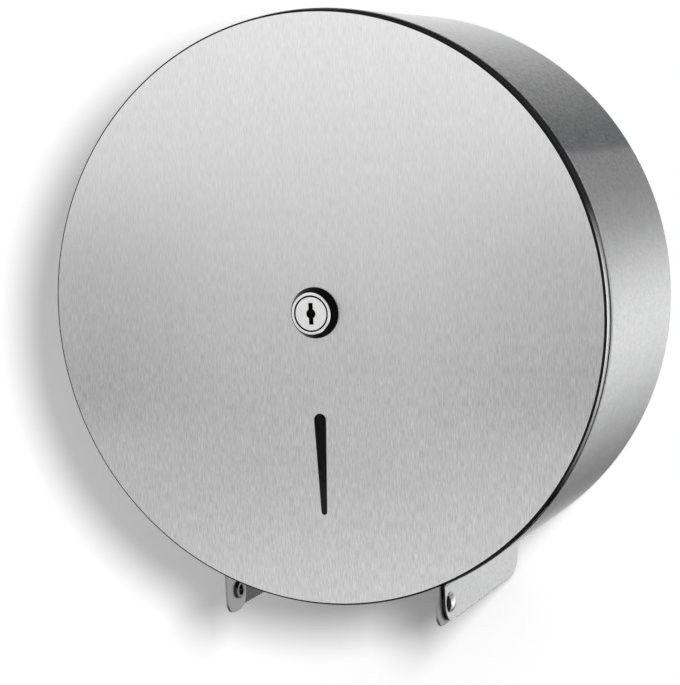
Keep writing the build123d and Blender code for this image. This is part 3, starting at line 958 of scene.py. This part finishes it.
def makeDoorFace():
    bend, thickness, face = pressing["bend"], pressing["thickness"], pressing["faceOut"]
    bendMiddle = (face - bend, pressing["radius"] - bend)
    profile = arc(bendMiddle, bend, 0, pi / 2, pressing["bendSteps"])
    profile += arc(bendMiddle, bend - thickness, pi / 2, -pi / 2, pressing["innerBendSteps"])
    mesh = bmesh.new()

    def loopAt(outline, out):
        return [mesh.verts.new((x / 1000, -out / 1000, z / 1000)) for x, z in outline]

    def join(first, second, material=0):
        for (a, b), (d, c) in zip(pairs(first), pairs(second)):
            mesh.faces.new((a, b, c, d)).material_index = material

    rings = [loopAt(circle((0, 0), radius, pressing["steps"]), out) for out, radius in profile]
    for first, second in zip(rings, rings[1:]):
        join(first, second)
    openings = [boreOutline(), slotOutline()]
    fronts = [loopAt(outline, face) for outline in openings]
    backs = [loopAt(outline, face - thickness) for outline in openings]
    for front, back in zip(fronts, backs):
        join(front, back, 1)
    for rim, loops in ((rings[0], fronts), (rings[-1], backs)):
        borders = [mesh.edges.get(pair) for loop in (rim, *loops) for pair in pairs(loop)]
        bmesh.ops.triangle_fill(mesh, use_beauty=True, edges=borders, normal=(0, -1, 0))
    bmesh.ops.recalc_face_normals(mesh, faces=list(mesh.faces))
    weight = mesh.edges.layers.float.new("bevel_weight_edge")
    for loop in fronts + backs:
        for pair in pairs(loop):
            mesh.edges.get(pair)[weight] = 1.0
    door = addSheet("pressed_door", mesh, finishes["door_sheet"], pressing["deburr"])
    door.data.set_sharp_from_angle(angle=radians(pressing["sharpAngle"]))
    evened = door.modifiers.new("evened", "WEIGHTED_NORMAL")
    evened.keep_sharp = True
    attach(door, "door")
    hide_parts("door_skin")


makeDoorFace()
print("door face made")

# The shell as one bent sheet with deburred edges: the roll, two bends and two ears.
# Sizes repeat the CAD part's, in millimetres; out is the distance from the wall.
sheet = {
    "thickness": 0.8,
    "rollRadius": 138.6,
    "depth": 108.0,
    "rows": 12,  # faces from the wall to the front
    "rollStep": 1.5,  # degrees
    "bendRadius": 2.0,
    "bendSteps": 8,
    "earOutside": 55.9,
    "earHeight": 17.4,
    "frontCorner": 9.0,
    "rearCorner": 13.0,
    "cornerSteps": 16,
    "pinOut": 102.5,
    "pinAboveFoot": 9.5,
    "pinRadius": 3.0,
    "pinSteps": 32,
    "toothPitch": 2.5,
    "toothDepth": 0.7,
    "toothShare": 0.9,
    "deburr": 0.3,
    "deburrAngle": 50,  # edges sharper than this are deburred; degrees
    "deburrRun": 4.0,  # over this height above the torn foot it grows to full width
    "innerDeburr": 0.2,  # share of it on the sheet's inner side
}


# Points across the roll and one bend: (x, z) outside and the way in to the other side
def stripPath():
    roll, bend = sheet["rollRadius"], sheet["bendRadius"]
    bendX = sheet["earOutside"] + bend
    bendZ = -sqrt((roll + bend) ** 2 - bendX**2)
    last = atan2(bendZ, bendX)
    count = round((pi / 2 - last) / radians(sheet["rollStep"]))
    turns = arc((0, 0), 1, pi / 2, last - pi / 2, count)
    path = [(roll * x, roll * z, -x, -z) for x, z in turns]
    start = atan2(-bendZ, -bendX)
    turns = arc((0, 0), 1, start, pi - start, sheet["bendSteps"])
    path += [(bendX + bend * x, bendZ + bend * z, x, z) for x, z in turns[1:]]
    return path, bendZ


# The ear's outline below the bend as (out, z), from the wall end round to the front end
def earOutline(kneeZ):
    foot = kneeZ - sheet["earHeight"]
    rear, front, depth = sheet["rearCorner"], sheet["frontCorner"], sheet["depth"]
    pitch, half = sheet["toothPitch"], sheet["toothPitch"] * sheet["toothShare"] / 2
    outline = arc((rear, foot + rear), rear, pi, pi / 2, sheet["cornerSteps"])
    low = rear + pitch
    for step in range(int((depth - front - pitch - low) / pitch)):
        middle = low + (step + 0.5) * pitch
        tip = (middle, foot + sheet["toothDepth"])
        outline += [(middle - half, foot), tip, (middle + half, foot)]
    corner = (depth - front, foot + front)
    return outline + arc(corner, front, -pi / 2, pi / 2, sheet["cornerSteps"]), foot


def makeShell():
    path, kneeZ = stripPath()
    outline, foot = earOutline(kneeZ)
    rows = [sheet["depth"] * step / sheet["rows"] for step in range(sheet["rows"] + 1)]
    pinMiddle = (sheet["pinOut"], foot + sheet["pinAboveFoot"])
    pinHole = circle(pinMiddle, sheet["pinRadius"], sheet["pinSteps"])
    mesh = bmesh.new()
    inwards = {}

    def point(x, out, z, inward):
        vertex = mesh.verts.new((x / 1000, -out / 1000, z / 1000))
        inwards[vertex] = inward
        return vertex

    top = [point(path[0][0], out, path[0][1], path[0][2:]) for out in rows]
    for side in (1, -1):
        row = top
        for x, z, inX, inZ in path[1:]:
            following = [point(side * x, out, z, (side * inX, inZ)) for out in rows]
            for a, b, c, d in zip(row, row[1:], following[1:], following):
                mesh.faces.new((a, b, c, d) if side == 1 else (d, c, b, a))
            row = following
        earX, inward = side * path[-1][0], (side * path[-1][2], path[-1][3])
        edge = [point(earX, out, z, inward) for out, z in outline]
        hole = [point(earX, out, z, inward) for out, z in pinHole]
        borders = []
        for pair in pairs(row[::-1] + edge) + pairs(hole):
            borders.append(mesh.edges.get(pair) or mesh.edges.new(pair))
        made = bmesh.ops.triangle_fill(
            mesh, use_beauty=True, edges=borders, normal=(side, 0, 0)
        )
        for face in made["geom"]:
            if isinstance(face, bmesh.types.BMFace):
                face.normal_update()
                if face.normal.x * side < 0:
                    face.normal_flip()
    outer = list(mesh.faces)
    inner = {}
    for vertex, inward in inwards.items():
        shift = Vector((inward[0], 0, inward[1])) * sheet["thickness"] / 1000
        inner[vertex] = mesh.verts.new(vertex.co + shift)
    for edge in [edge for edge in mesh.edges if len(edge.link_faces) == 1]:
        loop = edge.link_loops[0]
        a, b = loop.vert, loop.link_loop_next.vert
        mesh.faces.new((b, a, inner[a], inner[b])).material_index = 1
    for face in outer:
        mesh.faces.new([inner[vertex] for vertex in reversed(face.verts)])
    bmesh.ops.recalc_face_normals(mesh, faces=list(mesh.faces))
    weight = mesh.edges.layers.float.new("bevel_weight_edge")
    innerVertices = set(inner.values())
    for edge in mesh.edges:
        if edge.calc_face_angle(0) > radians(sheet["deburrAngle"]):
            lowest = min(vertex.co.z for vertex in edge.verts) * 1000
            run = (lowest - foot - sheet["toothDepth"]) / sheet["deburrRun"]
            share = sheet["innerDeburr"] if innerVertices.issuperset(edge.verts) else 1.0
            edge[weight] = max(0.0, min(1.0, run)) * share
            edge.smooth = edge[weight] > 0
    shell = addSheet("bent_shell", mesh, finishes["shell_sheet"], sheet["deburr"])
    deburr = shell.modifiers["deburr"]
    deburr.harden_normals = True
    deburr.material = 0
    # A far-off texture space makes the default tangent run along Y, across the brush strokes
    shell.data.use_auto_texspace = False
    shell.data.texspace_location = (-10, 0, 0)
    shell.data.texspace_size = (1, 1000, 1)
    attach(shell, "case")
    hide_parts("drum_shell", "outlet_ear_left", "outlet_ear_right")


makeShell()
print("bent shell made")

bpy.context.scene.view_settings.view_transform = "Standard"
